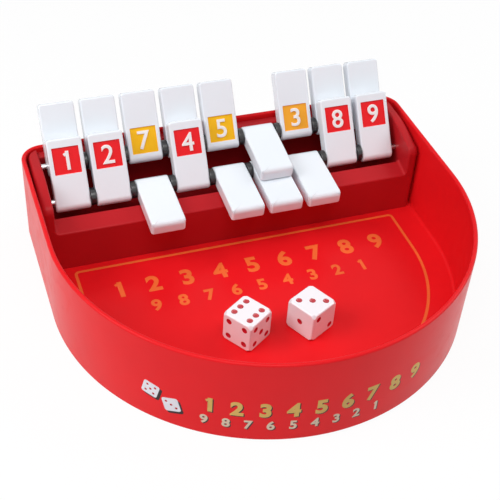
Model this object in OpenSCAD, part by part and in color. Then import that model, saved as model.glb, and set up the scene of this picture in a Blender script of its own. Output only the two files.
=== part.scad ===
// Shut-the-box game with two rows of flip-down number tiles in a D-shaped tray, and two dice.
// It stands on its flat base: X to the right, Y to the back, Z up, origin at the centre of the base.
// The tiles are drawn as they stand in play: some upright, some shut flat.

/* [Tiles] */
// Width of one tile
tile_w = 17; // [14:0.5:22]
// Gap between neighbouring tiles
tile_gap = 3; // [2:0.1:5]
// Length of one tile
tile_len = 35; // [32:0.5:38]
// Thickness of one tile
tile_t = 6.8; // [6:0.1:7.4]
// Distance from the rod to the tail end of a tile
tile_tail = 5.2; // [4.4:0.1:5.6]
// Rounding of the tip's edge on the number side
tip_r = 1; // [0.5:0.1:1.6]
// Rounding of the tip's edge on the blank side
tip_back_r = 2.6; // [1.5:0.1:4]
// Rounding of the tile's upright corners
tile_corner_r = 1.4; // [0.8:0.1:2.5]
// Rounding of the tile's long edges
tile_edge_r = 0.8; // [0.4:0.1:1.5]
// Lean of an upright back tile from the vertical, in degrees
back_lean = 31.5; // [26:0.5:36]
// Slope of a shut front tile, in degrees below level
shut_slope = 4.5; // [2:0.5:7]
// Gap left where a tile comes to rest on something
seat_gap = 0.25; // [0.2:0.05:0.5]

/* [Numbers] */
// Side of the recessed number square
square_w = 12.9; // [10:0.1:13.5]
// Depth of the number square, and height of the raised numeral in it
square_depth = 0.5; // [0.3:0.05:0.8]
// Distance from the rod to the middle of a front tile's number square
front_square_s = 19.2; // [16:0.1:21]
// Distance from the rod to the middle of a back tile's number square
back_square_s = 5.9; // [5:0.1:9]
// Height of a numeral
numeral_h = 9.2; // [6:0.1:9.8]
// Stroke width of a numeral
stroke = 1.5; // [1:0.1:1.8]

/* [Rods and spacers] */
// Diameter of the steel rods
rod_d = 3; // [2:0.1:3.6]
// Clearance on the radius of a rod in its hole
rod_fit = 0.06; // [0.03:0.01:0.1]
// How far a rod's end lies inside the rack's outer face
rod_inset = 0.5; // [0.2:0.1:2]
// Diameter of a spacer disc
spacer_d = 8.6; // [6:0.1:8.8]
// Gap on each side of a spacer disc
spacer_gap = 0.2; // [0.1:0.05:0.5]

/* [Tile rack] */
// Height of the front rod above the base
front_rod_z = 31.2; // [29:0.1:32]
// Distance from the front rod back to the back rod
row_step = 15.5; // [15:0.1:17]
// Rise from the front rod to the back rod
row_rise = 10.3; // [9.6:0.1:11]
// Wall of the moulded rack
rack_wall = 2; // [1.5:0.1:3]
// Thickness of each end cheek
cheek_t = 5.4; // [4:0.1:8]
// Gap from an end tile to the cheek
end_gap = 2.9; // [1:0.1:5]
// Depth of the sloped ledge in front of the trough
ledge_d = 9.5; // [7:0.5:14]
// Fall of the ledge towards the front
ledge_fall = 2.6; // [1.5:0.1:4]
// Gap from a turning front tile's tail to the trough's front wall
trough_gap = 1.6; // [0.6:0.1:3]
// Floor of the trough above the base
trough_z = 14; // [11:0.5:20]
// Gap from a turning back tile's tail to the rail
tail_gap = 0.3; // [0.2:0.05:0.6]
// Thickness of the rear rail
rail_t = 4.9; // [3:0.1:7]
// Height of the cheeks at their front end
cheek_front_z = 41; // [38:0.5:43]
// Height of the cheeks at the back
cheek_back_z = 45.2; // [44.8:0.1:45.8]
// Rounding of the cheek's front top corner, seen from the side
cheek_r = 6; // [3:0.5:8]
// Rounding of the rack's upright front corners
rack_corner_r = 3.5; // [1:0.5:5]
// Bevel along the edges of the ledge
ledge_bevel = 0.7; // [0.3:0.1:1]

/* [Tray] */
// Length of the straight side, from the back to the round front
tray_side = 74; // [66:1:110]
// Height of the tray
tray_h = 46; // [46:0.5:70]
// Wall of the tray
tray_wall = 2.2; // [1.6:0.1:3.5]
// Thickness of the floor
floor_t = 2.5; // [1.5:0.1:4]
// Radius of the back corners
tray_corner_r = 11; // [6:0.5:16]
// Gap between the rack's ends and the tray
rack_side_gap = 1; // [0.2:0.1:2]
// Gap between the rack's back and the tray
rack_back_gap = 0.4; // [0.2:0.1:1.5]
// Bevel round the foot of the tray
foot_bevel = 0.6; // [0.3:0.1:1.2]

/* [Rack screws] */
// Shank diameter of the screws that hold the rack
screw_d = 2.9; // [2.2:0.1:3.5]
// Length of the screw below its head
screw_len = 8; // [7:0.5:8.5]
// Diameter of the screw head
screw_head_d = 5.6; // [4.5:0.1:7]
// Height of the screw head
screw_head_h = 2; // [1.4:0.1:2.4]
// Height of the seat of the screw heads above the base
screw_seat_z = 3.4; // [3:0.1:4.5]
// Thickness of the tray boss above the screw head
screw_web = 2.6; // [2:0.1:3.4]
// Wall of the tray's bosses round the screw heads
boss_wall = 1.8; // [1.4:0.1:2.6]
// Wall of the rack's posts round the screws
post_wall = 2.5; // [1.8:0.1:3.2]
// Gap on the radius round a screw head in its recess
head_gap = 0.4; // [0.2:0.1:0.8]
// Gap on the radius round a screw's shank in the tray
shank_gap = 0.25; // [0.1:0.05:0.4]
// Clearance on the radius of a screw in its post
post_fit = 0.05; // [0.03:0.01:0.1]
// Free depth of the post's hole past the screw's end
post_spare = 0.5; // [0.2:0.1:1]
// Distance of the screws from the middle of the rack
screw_x = 70; // [50:1:80]
// Distance of the screws from the trough's front and back walls
screw_inset = 7; // [5:0.5:9]

/* [Dice] */
// Side of a die
die_w = 16; // [12:0.5:20]
// Ball that rounds off the die's corners, as a share of its side
die_round = 0.775; // [0.74:0.005:0.85]
// Diameter of a pip
pip_d = 3.1; // [2:0.1:3.5]
// Depth of a pip
pip_depth = 0.45; // [0.2:0.05:0.8]
// Distance between the pips of a five or a six, from the middle of the face
pip_step = 4.4; // [3.5:0.1:4.6]

/* [Hidden] */
$fn = 64;
TILES = 9;
NUMBERS = [for (i = [1:TILES]) i];
// Numbers that lie shut in this picture of the game
FRONT_SHUT = [3, 5, 6, 7];
BACK_SHUT = [4];

// Tile and its turning
half_t = tile_t / 2;
tip_s = tile_len - tile_tail;
pitch = tile_w + tile_gap;
// Angle between two tiles when the tip of one rests on the face of the other, from the distance
// of the other tile's rod, square to the tip's tile
function rest_angle(away) =
    asin((away - half_t - seat_gap) / norm([tip_s, half_t])) - atan2(half_t, tip_s);
front_lean = back_lean
    + rest_angle(row_step * cos(back_lean) - row_rise * sin(back_lean));
back_slope = shut_slope
    + rest_angle(row_rise * cos(shut_slope) - row_step * sin(shut_slope));
front_turn = 90 + front_lean + shut_slope;
back_turn = 90 + back_lean + back_slope;

// Tray
row_w = TILES * tile_w + (TILES - 1) * tile_gap;
rack_in_w = row_w + 2 * end_gap;
rack_w = rack_in_w + 2 * cheek_t;
half_w = rack_w / 2 + rack_side_gap + tray_wall;
back_y = (tray_side + half_w) / 2;
arc_y = back_y - tray_side;

// Rack, from the back wall forwards
rack_back_y = back_y - tray_wall - rack_back_gap;
rail_y = rack_back_y - rail_t;
back_rod_y = rail_y - tail_gap - tile_tail;
back_rod_z = front_rod_z + row_rise;
front_rod_y = back_rod_y - row_step;
ledge_in_y = front_rod_y - tile_tail - trough_gap;
ledge_in_z = front_rod_z - (front_rod_y - ledge_in_y) * tan(shut_slope)
    - (half_t + seat_gap) / cos(shut_slope);
rack_front_y = ledge_in_y - ledge_d;
ledge_out_z = ledge_in_z - ledge_fall;
// Height at which an upright back tile's back face, with its seat gap, meets the rail
rail_z = back_rod_z + (rail_y - back_rod_y - (half_t + seat_gap) / cos(back_lean)) / tan(back_lean);

// Screws
boss_d = screw_head_d + 2 * (head_gap + boss_wall);
post_d = screw_d + 2 * (post_fit + post_wall);
boss_top_z = screw_seat_z + screw_web;
screw_ys = [ledge_in_y + screw_inset, rail_y - screw_inset];

// Dice, as they lie in the tray: place, turn, and the faces up, left and front
dice = [
    [-18.3, -24.8, 33.3, [6, 4, 5]],
    [12.4, -26.5, 27.5, [3, 1, 2]],
];

function tile_x(place) = (place - (TILES + 1) / 2) * pitch;
function is_in(list, n) = len(search(n, list)) > 0;

// Outline of the tray's plan, drawn in from the outside by inset
module d_outline(inset) {
    corner_x = half_w - tray_corner_r;
    translate([0, arc_y]) intersection() {
        circle(half_w - inset, $fn = 180);
        translate([-half_w, -half_w]) square([2 * half_w, half_w]);
    }
    translate([inset - half_w, arc_y])
        square([2 * (half_w - inset), tray_side - tray_corner_r]);
    translate([-corner_x, arc_y]) square([2 * corner_x, tray_side - inset]);
    for (side = [-1, 1]) translate([side * corner_x, back_y - tray_corner_r])
        circle(tray_corner_r - inset);
}

// Cross-section of the tray's wall, with its outer face at x = 0
module wall_section() {
    rim_r = tray_wall / 2;
    polygon([[-tray_wall, 0], [-foot_bevel, 0], [0, foot_bevel],
        [0, tray_h - rim_r], [-tray_wall, tray_h - rim_r]]);
    translate([-rim_r, tray_h - rim_r]) circle(rim_r);
}

module tray_wall_all_round() {
    corner_x = half_w - tray_corner_r;
    corner_y = back_y - tray_corner_r;
    translate([0, arc_y, 0]) rotate([0, 0, 180])
        rotate_extrude(angle = 180, $fn = 180) translate([half_w, 0]) wall_section();
    translate([-corner_x, back_y, 0]) rotate([90, 0, 90])
        linear_extrude(2 * corner_x) wall_section();
    for (side = [0, 1]) mirror([side, 0, 0]) {
        translate([half_w, corner_y, 0]) rotate([90, 0, 0])
            linear_extrude(corner_y - arc_y) wall_section();
        translate([corner_x, corner_y, 0])
            rotate_extrude(angle = 90) translate([tray_corner_r, 0]) wall_section();
    }
}

module at_screws() {
    for (x = [-screw_x, screw_x], y = screw_ys) translate([x, y, 0]) children();
}

module tray() {
    color("crimson") difference() {
        union() {
            tray_wall_all_round();
            linear_extrude(floor_t) d_outline(tray_wall / 2);
            at_screws() cylinder(h = boss_top_z, d = boss_d);
        }
        at_screws() {
            translate([0, 0, -1]) cylinder(h = screw_seat_z + 1, d = screw_head_d + 2 * head_gap);
            cylinder(h = boss_top_z + 1, d = screw_d + 2 * shank_gap);
        }
    }
}

// Side view of the rack's shell between the cheeks: y to the right, z up
module rack_section() {
    w = rack_wall;
    b = ledge_bevel;
    fall = ledge_fall / ledge_d;
    polygon([
        [rack_front_y, floor_t],
        [rack_front_y, ledge_out_z - b],
        [rack_front_y + b, ledge_out_z + b * fall],
        [ledge_in_y - b, ledge_in_z - b * fall],
        [ledge_in_y, ledge_in_z - b],
        [ledge_in_y, trough_z],
        [rail_y, trough_z],
        [rail_y, rail_z],
        [rack_back_y, rail_z],
        [rack_back_y, floor_t],
        [rack_back_y - w, floor_t],
        [rack_back_y - w, trough_z - w],
        [ledge_in_y - w, trough_z - w],
        [ledge_in_y - w, ledge_in_z - w * (1 + fall)],
        [rack_front_y + w, ledge_out_z - w],
        [rack_front_y + w, floor_t],
    ]);
}

// Side view of a cheek
module cheek_section() {
    r = cheek_r;
    polygon([
        [rack_front_y, floor_t],
        [rack_front_y, cheek_front_z - r],
        [rack_front_y + r, cheek_front_z - r],
        [rack_front_y + r, cheek_front_z],
        [front_rod_y + rod_d, cheek_back_z],
        [rack_back_y, cheek_back_z],
        [rack_back_y, floor_t],
    ]);
    translate([rack_front_y + r, cheek_front_z - r]) circle(r);
}

// Plan of the rack, with its upright corners rounded to follow the tray
module rack_plan() {
    back_r = tray_corner_r - tray_wall;
    front_x = rack_w / 2 - rack_corner_r;
    back_x = rack_w / 2 - back_r;
    translate([-front_x, rack_front_y]) square([2 * front_x, rack_corner_r]);
    translate([-rack_w / 2, rack_front_y + rack_corner_r])
        square([rack_w, rack_back_y - back_r - rack_front_y - rack_corner_r]);
    translate([-back_x, rack_back_y - back_r]) square([2 * back_x, back_r]);
    for (side = [-1, 1]) {
        translate([side * front_x, rack_front_y + rack_corner_r]) circle(rack_corner_r);
        translate([side * back_x, rack_back_y - back_r]) circle(back_r);
    }
}

// Lays a side view down along X, from x0 over the length given
module along_x(x0, length) {
    translate([x0, 0, 0]) rotate([90, 0, 90]) linear_extrude(length) children();
}

module along_rod(y, z, x0, length, d) {
    translate([x0, y, z]) rotate([0, 90, 0]) cylinder(h = length, d = d);
}

module tile_rack() {
    color("firebrick") difference() {
        union() {
            intersection() {
                union() {
                    along_x(-rack_in_w / 2, rack_in_w) rack_section();
                    for (x0 = [-rack_w / 2, rack_in_w / 2]) along_x(x0, cheek_t) cheek_section();
                }
                linear_extrude(cheek_back_z + 1) rack_plan();
            }
            at_screws() translate([0, 0, boss_top_z])
                cylinder(h = trough_z - rack_wall / 2 - boss_top_z, d = post_d);
        }
        at_screws()
            cylinder(h = screw_seat_z + screw_len + post_spare, d = screw_d + 2 * post_fit);
        for (rod = [[front_rod_y, front_rod_z], [back_rod_y, back_rod_z]])
            along_rod(rod[0], rod[1], -rack_w, 2 * rack_w, rod_d + 2 * rod_fit);
    }
}

// Pan-head screws driven up through the tray's bosses into the rack's posts
module rack_screws() {
    color("silver") at_screws() {
        cylinder(h = screw_seat_z + screw_len, d = screw_d);
        translate([0, 0, screw_seat_z - screw_head_h]) cylinder(h = screw_head_h, d = screw_head_d);
    }
}

module rod(y, z) {
    color("silver") along_rod(y, z, rod_inset - rack_w / 2, rack_w - 2 * rod_inset, rod_d);
}

// Black discs between neighbouring tiles
module spacers(y, z) {
    disc_t = tile_gap - 2 * spacer_gap;
    color("dimgray") for (place = [1:TILES - 1]) {
        x0 = (tile_x(place) + tile_x(place + 1) - disc_t) / 2;
        difference() {
            along_rod(y, z, x0, disc_t, spacer_d);
            along_rod(y, z, x0 - 1, disc_t + 2, rod_d + 2 * rod_fit);
        }
    }
}

// Straight stroke of a numeral, with round ends
module bar(a, b) {
    turn = atan2(b[1] - a[1], b[0] - a[0]);
    translate(a) rotate(turn) translate([0, -stroke / 2]) square([norm(b - a), stroke]);
    for (end = [a, b]) translate(end) circle(d = stroke);
}

// Curved stroke round c from angle a0 up to a1, with round ends
module bow(c, r, a0, a1) {
    sweep = [for (i = [0:8]) a0 + (a1 - a0) * i / 8];
    translate(c) {
        intersection() {
            difference() {
                circle(r + stroke / 2);
                circle(r - stroke / 2);
            }
            polygon(concat([[0, 0]], [for (a = sweep) 3 * r * [cos(a), sin(a)]]));
        }
        for (a = [a0, a1]) translate(r * [cos(a), sin(a)]) circle(d = stroke);
    }
}

module ring(c, r) {
    translate(c) difference() {
        circle(r + stroke / 2);
        circle(r - stroke / 2);
    }
}

// Plain rounded numeral, centred
module numeral(n) {
    top = (numeral_h - stroke) / 2;
    w = 0.28 * (numeral_h - stroke);
    if (n == 1) {
        bar([0.15 * w, -top], [0.15 * w, top]);
        bar([0.15 * w, top], [-0.75 * w, 0.72 * top]);
    } else if (n == 2) {
        bow([0, top - w], w, -20, 165);
        bar([w * cos(20), top - w - w * sin(20)], [-1.05 * w, -top]);
        bar([-1.05 * w, -top], [1.1 * w, -top]);
    } else if (n == 3) {
        upper = 0.48 * top;
        lower = top - upper;
        bow([0, top - upper], upper, -90, 150);
        bow([0, lower - top], lower, -150, 90);
    } else if (n == 4) {
        bar([0.4 * w, top], [-1.1 * w, -0.42 * top]);
        bar([-1.1 * w, -0.42 * top], [1.15 * w, -0.42 * top]);
        bar([0.4 * w, top], [0.4 * w, -top]);
    } else if (n == 5) {
        bowl = 1.02 * w;
        middle = [-0.08 * w, bowl - top];
        bar([-0.75 * w, top], [0.95 * w, top]);
        bar([-0.75 * w, top], middle + bowl * [cos(140), sin(140)]);
        bow(middle, bowl, -138, 140);
    } else if (n == 6 || n == 9) {
        rotate(n == 6 ? 0 : 180) {
            ring([0, w - top], w);
            bar([0.55 * w, top], [-w * cos(25), w - top + w * sin(25)]);
        }
    } else if (n == 7) {
        bar([-w, top], [w, top]);
        bar([w, top], [-0.3 * w, -top]);
    } else if (n == 8) {
        upper = 0.46 * top;
        lower = top - upper;
        ring([0, top - upper], upper);
        ring([0, lower - top], lower);
    }
}

// Rectangle from lower left a to upper right b with rounded corners
module rounded(a, b, r) {
    translate([a[0] + r, a[1]]) square([b[0] - a[0] - 2 * r, b[1] - a[1]]);
    translate([a[0], a[1] + r]) square([b[0] - a[0], b[1] - a[1] - 2 * r]);
    for (x = [a[0] + r, b[0] - r], y = [a[1] + r, b[1] - r]) translate([x, y]) circle(r);
}

// Side view of a tile: rod at the origin, tip to the right, number side up
module tile_section() {
    tail_x = half_t - tile_tail;
    translate([tail_x, 0]) circle(half_t);
    translate([tail_x, -half_t]) square([tip_s - tip_back_r - tail_x, tile_t]);
    translate([tail_x, 0]) square([tip_s - tip_r - tail_x, half_t]);
    translate([tail_x, tip_back_r - half_t])
        square([tip_s - tail_x, tile_t - tip_back_r - tip_r]);
    translate([tip_s - tip_r, half_t - tip_r]) circle(tip_r);
    translate([tip_s - tip_back_r, tip_back_r - half_t]) circle(tip_back_r);
}

// Tile with its rod at the origin, its tip towards +Y and its number towards +Z
module tile(n, square_s) {
    difference() {
        intersection() {
            along_x(-tile_w / 2, tile_w) tile_section();
            translate([0, 0, -tile_t]) linear_extrude(2 * tile_t)
                rounded([-tile_w / 2, -tile_tail], [tile_w / 2, tip_s], tile_corner_r);
            translate([0, tip_s + 1, 0]) rotate([90, 0, 0]) linear_extrude(tile_len + 2)
                rounded([-tile_w / 2, -half_t], [tile_w / 2, half_t], tile_edge_r);
        }
        translate([0, square_s, half_t - square_depth]) linear_extrude(square_depth + 1)
            difference() {
                square(square_w, center = true);
                numeral(n);
            }
        along_rod(0, 0, -tile_w, 2 * tile_w, rod_d + 2 * rod_fit);
    }
}

// Tile on its rod, turned forward from level-back by its lean and, when shut, by its whole turn
module front_tile(n) {
    turn = is_in(FRONT_SHUT, n) ? front_turn : 0;
    color("white") translate([tile_x(n), front_rod_y, front_rod_z])
        rotate([90 - front_lean + turn, 0, 0]) tile(n, front_square_s);
}

module back_tile(n) {
    turn = is_in(BACK_SHUT, n) ? back_turn : 0;
    color("white") translate([tile_x(TILES + 1 - n), back_rod_y, back_rod_z])
        rotate([90 - back_lean + turn, 0, 0]) tile(n, back_square_s);
}

// Pips of one face, as points on a square grid
function pip_points(n) =
    let (q = pip_step, odd = n % 2 == 1 ? [[0, 0]] : [])
    concat(odd,
        n >= 2 ? [[-q, q], [q, -q]] : [],
        n >= 4 ? [[q, q], [-q, -q]] : [],
        n == 6 ? [[0, q], [0, -q]] : []);

module pips(n, turn) {
    rotate(turn) translate([0, 0, die_w / 2 - pip_depth])
        for (p = pip_points(n)) translate(p) cylinder(h = 1, d = pip_d, $fn = 32);
}

// Die with the given faces up, left and front; opposite faces add up to seven
module die(faces) {
    difference() {
        intersection() {
            cube(die_w, center = true);
            sphere(die_w * die_round, $fn = 96);
        }
        pips(faces[0], [0, 0, 0]);
        pips(7 - faces[0], [180, 0, 0]);
        pips(faces[1], [0, -90, 0]);
        pips(7 - faces[1], [0, 90, 0]);
        pips(faces[2], [90, 0, 0]);
        pips(7 - faces[2], [-90, 0, 0]);
    }
}

module die_in_tray(i) {
    color("ghostwhite") translate([dice[i][0], dice[i][1], floor_t + die_w / 2])
        rotate(dice[i][2]) die(dice[i][3]);
}

tray();
tile_rack();
rack_screws();
rod(front_rod_y, front_rod_z);  // front_rod
rod(back_rod_y, back_rod_z);  // back_rod
spacers(front_rod_y, front_rod_z);  // front_spacers
spacers(back_rod_y, back_rod_z);  // back_spacers
for (n = NUMBERS) {
    front_tile(n);
    back_tile(n);
}
die_in_tray(0);  // die_left
die_in_tray(1);  // die_right
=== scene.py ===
import math

import bmesh
import bpy
from mathutils import Matrix, Vector


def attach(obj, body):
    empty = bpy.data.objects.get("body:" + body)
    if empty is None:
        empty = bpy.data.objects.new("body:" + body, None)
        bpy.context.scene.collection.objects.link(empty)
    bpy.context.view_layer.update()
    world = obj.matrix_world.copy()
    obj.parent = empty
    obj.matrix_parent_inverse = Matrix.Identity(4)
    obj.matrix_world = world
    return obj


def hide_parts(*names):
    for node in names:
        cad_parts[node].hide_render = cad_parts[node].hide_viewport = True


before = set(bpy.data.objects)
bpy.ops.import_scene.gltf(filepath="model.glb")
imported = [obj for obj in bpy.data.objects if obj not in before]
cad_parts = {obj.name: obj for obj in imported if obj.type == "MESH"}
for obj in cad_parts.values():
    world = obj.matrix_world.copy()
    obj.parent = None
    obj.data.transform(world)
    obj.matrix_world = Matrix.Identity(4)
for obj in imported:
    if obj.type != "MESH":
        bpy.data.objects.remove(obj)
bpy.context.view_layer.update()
mm = 0.001
weldGap = 0.002 * mm  # points nearer than this are one


# small helpers for working on one piece at a time

def pickNothing():
    if bpy.context.mode != 'OBJECT':
        bpy.ops.object.mode_set(mode='OBJECT')
    bpy.ops.object.select_all(action='DESELECT')


def pickPiece(piece):
    pickNothing()
    piece.select_set(True)
    bpy.context.view_layer.objects.active = piece


def editPiece(piece, kind='EDGE'):
    pickPiece(piece)
    bpy.ops.object.mode_set(mode='EDIT')
    bpy.ops.mesh.select_mode(type=kind)
    bpy.ops.mesh.select_all(action='DESELECT')


def pickEdges(piece, wanted):
    editPiece(piece, 'EDGE')
    shape = bmesh.from_edit_mesh(piece.data)
    for edge in shape.edges:
        if wanted(edge):
            edge.select_set(True)
    bmesh.update_edit_mesh(piece.data)


def pickFaces(piece, wanted):
    editPiece(piece, 'FACE')
    shape = bmesh.from_edit_mesh(piece.data)
    for face in shape.faces:
        if wanted(face):
            face.select_set(True)
    bmesh.update_edit_mesh(piece.data)


def isSharp(edge):
    return len(edge.link_faces) == 2 and edge.calc_face_angle() > math.radians(60)


def allAt(edge, axis, place, slack=0.02 * mm):
    return all(abs(corner.co[axis] - place) < slack for corner in edge.verts)


def isLevel(edge, axis, slack=0.1 * mm):
    # both ends stand at the same place along the axis
    return abs(edge.verts[0].co[axis] - edge.verts[1].co[axis]) < slack


def bevelPicked(width, steps):
    bpy.ops.mesh.bevel(offset=width, offset_type='OFFSET', segments=steps, profile=0.5,
                       affect='EDGES', clamp_overlap=True)


def closeUp(piece):
    editPiece(piece, 'VERT')
    bpy.ops.mesh.select_all(action='SELECT')
    bpy.ops.mesh.remove_doubles(threshold=weldGap)
    bpy.ops.mesh.normals_make_consistent(inside=False)
    bpy.ops.object.mode_set(mode='OBJECT')


def cleanSeams(piece, slack):
    # joins left by the cuts: near points are merged and flat faces made whole
    editPiece(piece, 'VERT')
    bpy.ops.mesh.select_all(action='SELECT')
    bpy.ops.mesh.remove_doubles(threshold=slack)
    bpy.ops.mesh.dissolve_limited(angle_limit=math.radians(1))
    bpy.ops.mesh.select_all(action='SELECT')
    bpy.ops.mesh.normals_make_consistent(inside=False)
    bpy.ops.object.mode_set(mode='OBJECT')


def applyPlace(piece):
    pickPiece(piece)
    bpy.ops.object.transform_apply(location=True, rotation=True, scale=True)


def softenEdges(piece, width, steps=3, limit=50):
    pickPiece(piece)
    bpy.ops.object.modifier_add(type='BEVEL')
    rounding = piece.modifiers[-1]
    rounding.width = width
    rounding.segments = steps
    rounding.limit_method = 'ANGLE'
    rounding.angle_limit = math.radians(limit)
    rounding.use_clamp_overlap = False
    bpy.ops.object.modifier_apply(modifier=rounding.name)


def smoothPiece(piece, degrees=35):
    pickPiece(piece)
    bpy.ops.object.shade_smooth_by_angle(angle=math.radians(degrees))
    bpy.ops.object.modifier_add(type='WEIGHTED_NORMAL')
    piece.modifiers[-1].keep_sharp = True
    bpy.ops.object.modifier_apply(modifier=piece.modifiers[-1].name)


def discard(piece):
    pickPiece(piece)
    bpy.ops.object.delete()


def cutWith(piece, cutter, how='DIFFERENCE'):
    pickPiece(piece)
    bpy.ops.object.modifier_add(type='BOOLEAN')
    cut = piece.modifiers[-1]
    cut.operation = how
    cut.solver = 'EXACT'
    cut.object = cutter
    bpy.ops.object.modifier_apply(modifier=cut.name)
    discard(cutter)


def copyPiece(piece, name):
    pickPiece(piece)
    bpy.ops.object.duplicate(linked=False)
    twin = bpy.context.object
    twin.name = name
    return twin


def joinPieces(main, others):
    pickPiece(main)
    for other in others:
        other.select_set(True)
    bpy.ops.object.join()
    return main


def addBlock(size, middle):
    pickNothing()
    bpy.ops.mesh.primitive_cube_add(size=1, location=middle)
    block = bpy.context.object
    block.scale = size
    applyPlace(block)
    return block


def addRound(radius, length, middle, axis='Z', sides=64):
    pickNothing()
    turn = {'X': (0, math.pi / 2, 0), 'Y': (math.pi / 2, 0, 0), 'Z': (0, 0, 0)}[axis]
    bpy.ops.mesh.primitive_cylinder_add(vertices=sides, radius=radius, depth=length,
                                        location=middle, rotation=turn)
    stub = bpy.context.object
    applyPlace(stub)
    return stub


def drawSideView(points, fromX, toX):
    # a corner is extruded round the side view, closed to a face and pulled out along X
    pickNothing()
    bpy.ops.mesh.primitive_plane_add(size=mm, location=(0, 0, 0))
    piece = bpy.context.object
    editPiece(piece, 'VERT')
    bpy.ops.mesh.select_all(action='SELECT')
    bpy.ops.mesh.merge(type='CENTER')
    bpy.ops.transform.translate(value=(fromX, points[0][0], points[0][1]))
    for here, there in zip(points, points[1:]):
        step = (0, there[0] - here[0], there[1] - here[1])
        bpy.ops.mesh.extrude_region_move(TRANSFORM_OT_translate={"value": step})
    bpy.ops.mesh.select_all(action='SELECT')
    bpy.ops.mesh.edge_face_add()
    bpy.ops.mesh.extrude_region_move(TRANSFORM_OT_translate={"value": (toX - fromX, 0, 0)})
    bpy.ops.mesh.select_all(action='SELECT')
    bpy.ops.mesh.normals_make_consistent(inside=False)
    bpy.ops.object.mode_set(mode='OBJECT')
    return piece


# finishes

mouldedLook = {"cloudScale": 38, "cloudDetail": 3, "smearScale": 95, "smearDetail": 6,
               "smearTwist": 1.2, "smearFrom": 0.48, "smearTo": 0.72, "grainDetail": 2,
               "coatRoughness": 0.1, "bumpDepth": 0.2 * mm}


def buildMouldedGroup(look):
    # fine grain, faint mottling and hand marks of moulded plastic
    group = bpy.data.node_groups.new("mouldedFinish", 'ShaderNodeTree')
    face = group.interface
    face.new_socket("Colour", in_out='INPUT', socket_type='NodeSocketColor')
    for title in ("Mottle", "Gloss Loss", "Marks", "Grain Scale"):
        face.new_socket(title, in_out='INPUT', socket_type='NodeSocketFloat')
    face.new_socket("Colour", in_out='OUTPUT', socket_type='NodeSocketColor')
    for title in ("Roughness", "Grain"):
        face.new_socket(title, in_out='OUTPUT', socket_type='NodeSocketFloat')
    add, link = group.nodes.new, group.links.new
    given, given.location = add('NodeGroupInput'), (-900, 0)
    out, out.location = add('NodeGroupOutput'), (700, 0)
    place, place.location = add('ShaderNodeTexCoord'), (-900, 300)
    cloud, cloud.location = add('ShaderNodeTexNoise'), (-650, 300)
    cloud.inputs["Scale"].default_value = look["cloudScale"]
    cloud.inputs["Detail"].default_value = look["cloudDetail"]
    link(place.outputs["Object"], cloud.inputs["Vector"])
    swing, swing.location = add('ShaderNodeMapRange'), (-430, 300)
    swing.inputs["From Min"].default_value = 0.3
    swing.inputs["From Max"].default_value = 0.7
    swing.inputs["To Min"].default_value = 1.0
    link(cloud.outputs["Fac"], swing.inputs["Value"])
    lowest, lowest.location = add('ShaderNodeMath'), (-650, 80)
    lowest.operation = 'SUBTRACT'
    lowest.inputs[0].default_value = 1.0
    link(given.outputs["Mottle"], lowest.inputs[1])
    link(lowest.outputs[0], swing.inputs["To Max"])
    tint, tint.location = add('ShaderNodeVectorMath'), (-200, 200)
    tint.operation = 'SCALE'
    link(given.outputs["Colour"], tint.inputs[0])
    link(swing.outputs["Result"], tint.inputs["Scale"])
    link(tint.outputs["Vector"], out.inputs["Colour"])
    smear, smear.location = add('ShaderNodeTexNoise'), (-650, -150)
    smear.inputs["Scale"].default_value = look["smearScale"]
    smear.inputs["Detail"].default_value = look["smearDetail"]
    smear.inputs["Distortion"].default_value = look["smearTwist"]
    link(place.outputs["Object"], smear.inputs["Vector"])
    patch, patch.location = add('ShaderNodeMapRange'), (-430, -150)
    patch.inputs["From Min"].default_value = look["smearFrom"]
    patch.inputs["From Max"].default_value = look["smearTo"]
    link(smear.outputs["Fac"], patch.inputs["Value"])
    dull, dull.location = add('ShaderNodeMath'), (-200, -100)
    dull.operation = 'MULTIPLY_ADD'
    link(patch.outputs["Result"], dull.inputs[0])
    link(given.outputs["Marks"], dull.inputs[1])
    link(given.outputs["Gloss Loss"], dull.inputs[2])
    link(dull.outputs[0], out.inputs["Roughness"])
    grain, grain.location = add('ShaderNodeTexNoise'), (-430, -400)
    grain.inputs["Detail"].default_value = look["grainDetail"]
    link(place.outputs["Object"], grain.inputs["Vector"])
    link(given.outputs["Grain Scale"], grain.inputs["Scale"])
    link(grain.outputs["Fac"], out.inputs["Grain"])
    return group


def mouldedFinish(name, look):
    material = bpy.data.materials.new(name)
    material.use_nodes = True
    nodes, link = material.node_tree.nodes, material.node_tree.links.new
    shader = nodes["Principled BSDF"]
    finish = nodes.new('ShaderNodeGroup')
    finish.node_tree = mouldedGroup
    finish.location = (-500, 0)
    finish.inputs["Colour"].default_value = (*look["colour"], 1)
    finish.inputs["Mottle"].default_value = look.get("mottle", 0.05)
    finish.inputs["Gloss Loss"].default_value = look["roughness"]
    finish.inputs["Marks"].default_value = look.get("marks", 0.06)
    finish.inputs["Grain Scale"].default_value = look.get("grainScale", 900)
    bump = nodes.new('ShaderNodeBump')
    bump.location = (-250, -250)
    bump.inputs["Strength"].default_value = look.get("bump", 0.05)
    bump.inputs["Distance"].default_value = mouldedLook["bumpDepth"]
    link(finish.outputs["Colour"], shader.inputs["Base Color"])
    link(finish.outputs["Roughness"], shader.inputs["Roughness"])
    link(finish.outputs["Grain"], bump.inputs["Height"])
    link(bump.outputs["Normal"], shader.inputs["Normal"])
    shader.inputs["Coat Weight"].default_value = look.get("coat", 0.0)
    shader.inputs["Coat Roughness"].default_value = mouldedLook["coatRoughness"]
    shader.inputs["Metallic"].default_value = look.get("metal", 0.0)
    shader.inputs["Specular IOR Level"].default_value = look.get("specular", 0.5)
    return material


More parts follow.
